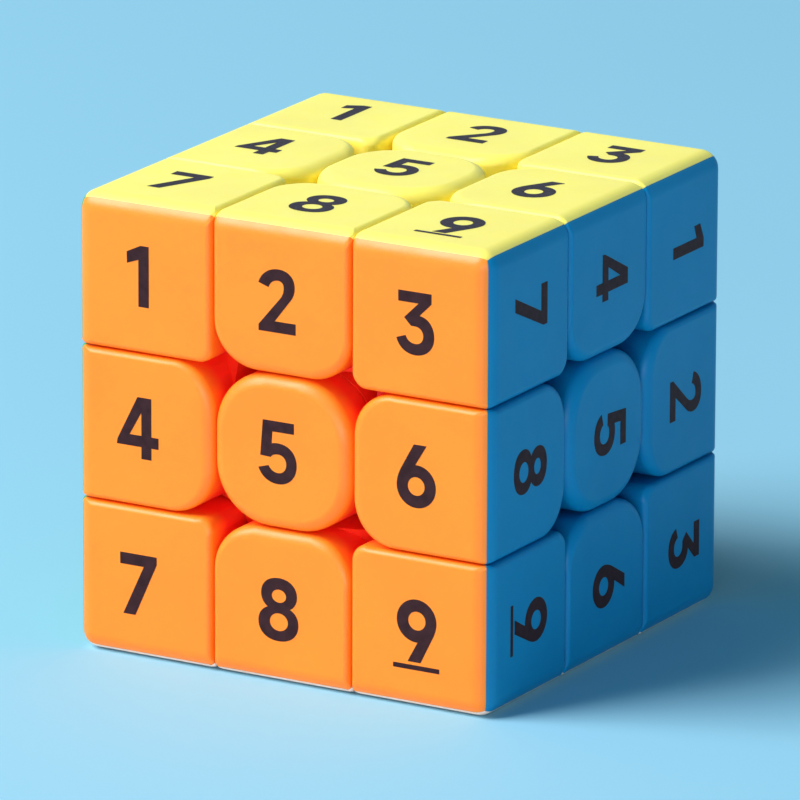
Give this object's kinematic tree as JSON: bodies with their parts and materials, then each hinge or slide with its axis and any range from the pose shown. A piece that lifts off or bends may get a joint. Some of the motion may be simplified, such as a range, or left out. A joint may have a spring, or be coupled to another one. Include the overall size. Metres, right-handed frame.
{
  "type": "sudoku cube",
  "caption": "Stickerless turning puzzle cube with a digit on every tile: its top and bottom layers turn, its sprung centres lift and their caps pull off.",
  "frame": {"origin": "middle of the bottom face, on the bottom centre cap", "axes": "+Z out of the top face, -Y out of the front face, +X out of the right face"},
  "size_m": [0.056, 0.056, 0.056],
  "materials": {
    "yellow_plastic": "smooth moulded plastic, satin gloss",
    "white_plastic": "smooth moulded plastic, satin gloss",
    "orange_plastic": "smooth moulded plastic, satin gloss",
    "red_plastic": "smooth moulded plastic, satin gloss",
    "blue_plastic": "smooth moulded plastic, satin gloss",
    "green_plastic": "smooth moulded plastic, satin gloss",
    "core_plastic": "plain moulded plastic",
    "steel": "bright zinc plate",
    "ink": "thin printed ink"
  },
  "bodies": {
    "middle_layer": {"core": "core_plastic", "top_screw": "steel", "top_spring": "steel", "top_washer": "steel", "bottom_screw": "steel", "bottom_spring": "steel", "bottom_washer": "steel", "front_screw": "steel", "front_spring": "steel", "front_washer": "steel", "back_screw": "steel", "back_spring": "steel", "back_washer": "steel", "right_screw": "steel", "right_spring": "steel", "right_washer": "steel", "left_screw": "steel", "left_spring": "steel", "left_washer": "steel", "edge_back_right": "red_plastic", "edge_back_left": "red_plastic", "edge_front_left": "orange_plastic", "edge_front_right": "orange_plastic"},
    "top_layer": {"corner_top_back_right": "yellow_plastic", "corner_top_back_left": "yellow_plastic", "corner_top_front_left": "yellow_plastic", "corner_top_front_right": "yellow_plastic", "edge_top_front": "yellow_plastic", "edge_top_back": "yellow_plastic", "edge_top_left": "yellow_plastic", "edge_top_right": "yellow_plastic"},
    "bottom_layer": {"corner_bottom_back_right": "white_plastic", "corner_bottom_back_left": "white_plastic", "corner_bottom_front_left": "white_plastic", "corner_bottom_front_right": "white_plastic", "edge_bottom_front": "white_plastic", "edge_bottom_back": "white_plastic", "edge_bottom_left": "white_plastic", "edge_bottom_right": "white_plastic"},
    "top_centre": {"top_centre_body": "yellow_plastic"},
    "top_cap": {"top_centre_cap": "yellow_plastic"},
    "bottom_centre": {"bottom_centre_body": "white_plastic"},
    "bottom_cap": {"bottom_centre_cap": "white_plastic"},
    "front_centre": {"front_centre_body": "orange_plastic"},
    "front_cap": {"front_centre_cap": "orange_plastic"},
    "back_centre": {"back_centre_body": "red_plastic"},
    "back_cap": {"back_centre_cap": "red_plastic"},
    "right_centre": {"right_centre_body": "blue_plastic"},
    "right_cap": {"right_centre_cap": "blue_plastic"},
    "left_centre": {"left_centre_body": "green_plastic"},
    "left_cap": {"left_centre_cap": "green_plastic"}
  },
  "joints": [
    {"name": "top_layer_turn", "type": "hinge", "parent": "middle_layer", "child": "top_layer", "pos_m": [0, 0, 0.028], "axis": [0, 0, 1], "continuous": true},
    {"name": "bottom_layer_turn", "type": "hinge", "parent": "middle_layer", "child": "bottom_layer", "pos_m": [0, 0, 0.028], "axis": [0, 0, -1], "continuous": true},
    {"name": "top_centre_lift", "type": "slide", "parent": "top_layer", "child": "top_centre", "axis": [0, 0, 1], "range_m": [0, 0.0008], "stiffness_N_per_m": 600, "springref_m": -0.002, "deforming": ["top_spring"]},
    {"name": "bottom_centre_lift", "type": "slide", "parent": "bottom_layer", "child": "bottom_centre", "axis": [0, 0, -1], "range_m": [0, 0.0008], "stiffness_N_per_m": 600, "springref_m": -0.002, "deforming": ["bottom_spring"]},
    {"name": "front_centre_lift", "type": "slide", "parent": "middle_layer", "child": "front_centre", "axis": [0, -1, 0], "range_m": [0, 0.0008], "stiffness_N_per_m": 600, "springref_m": -0.002, "deforming": ["front_spring"]},
    {"name": "back_centre_lift", "type": "slide", "parent": "middle_layer", "child": "back_centre", "axis": [0, 1, 0], "range_m": [0, 0.0008], "stiffness_N_per_m": 600, "springref_m": -0.002, "deforming": ["back_spring"]},
    {"name": "right_centre_lift", "type": "slide", "parent": "middle_layer", "child": "right_centre", "axis": [1, 0, 0], "range_m": [0, 0.0008], "stiffness_N_per_m": 600, "springref_m": -0.002, "deforming": ["right_spring"]},
    {"name": "left_centre_lift", "type": "slide", "parent": "middle_layer", "child": "left_centre", "axis": [-1, 0, 0], "range_m": [0, 0.0008], "stiffness_N_per_m": 600, "springref_m": -0.002, "deforming": ["left_spring"]},
    {"name": "top_cap_pull", "type": "slide", "parent": "top_centre", "child": "top_cap", "axis": [0, 0, 1], "range_m": [0, 0.012]},
    {"name": "bottom_cap_pull", "type": "slide", "parent": "bottom_centre", "child": "bottom_cap", "axis": [0, 0, -1], "range_m": [0, 0.012]},
    {"name": "front_cap_pull", "type": "slide", "parent": "front_centre", "child": "front_cap", "axis": [0, -1, 0], "range_m": [0, 0.012]},
    {"name": "back_cap_pull", "type": "slide", "parent": "back_centre", "child": "back_cap", "axis": [0, 1, 0], "range_m": [0, 0.012]},
    {"name": "right_cap_pull", "type": "slide", "parent": "right_centre", "child": "right_cap", "axis": [1, 0, 0], "range_m": [0, 0.012]},
    {"name": "left_cap_pull", "type": "slide", "parent": "left_centre", "child": "left_cap", "axis": [-1, 0, 0], "range_m": [0, 0.012]}
  ]
}
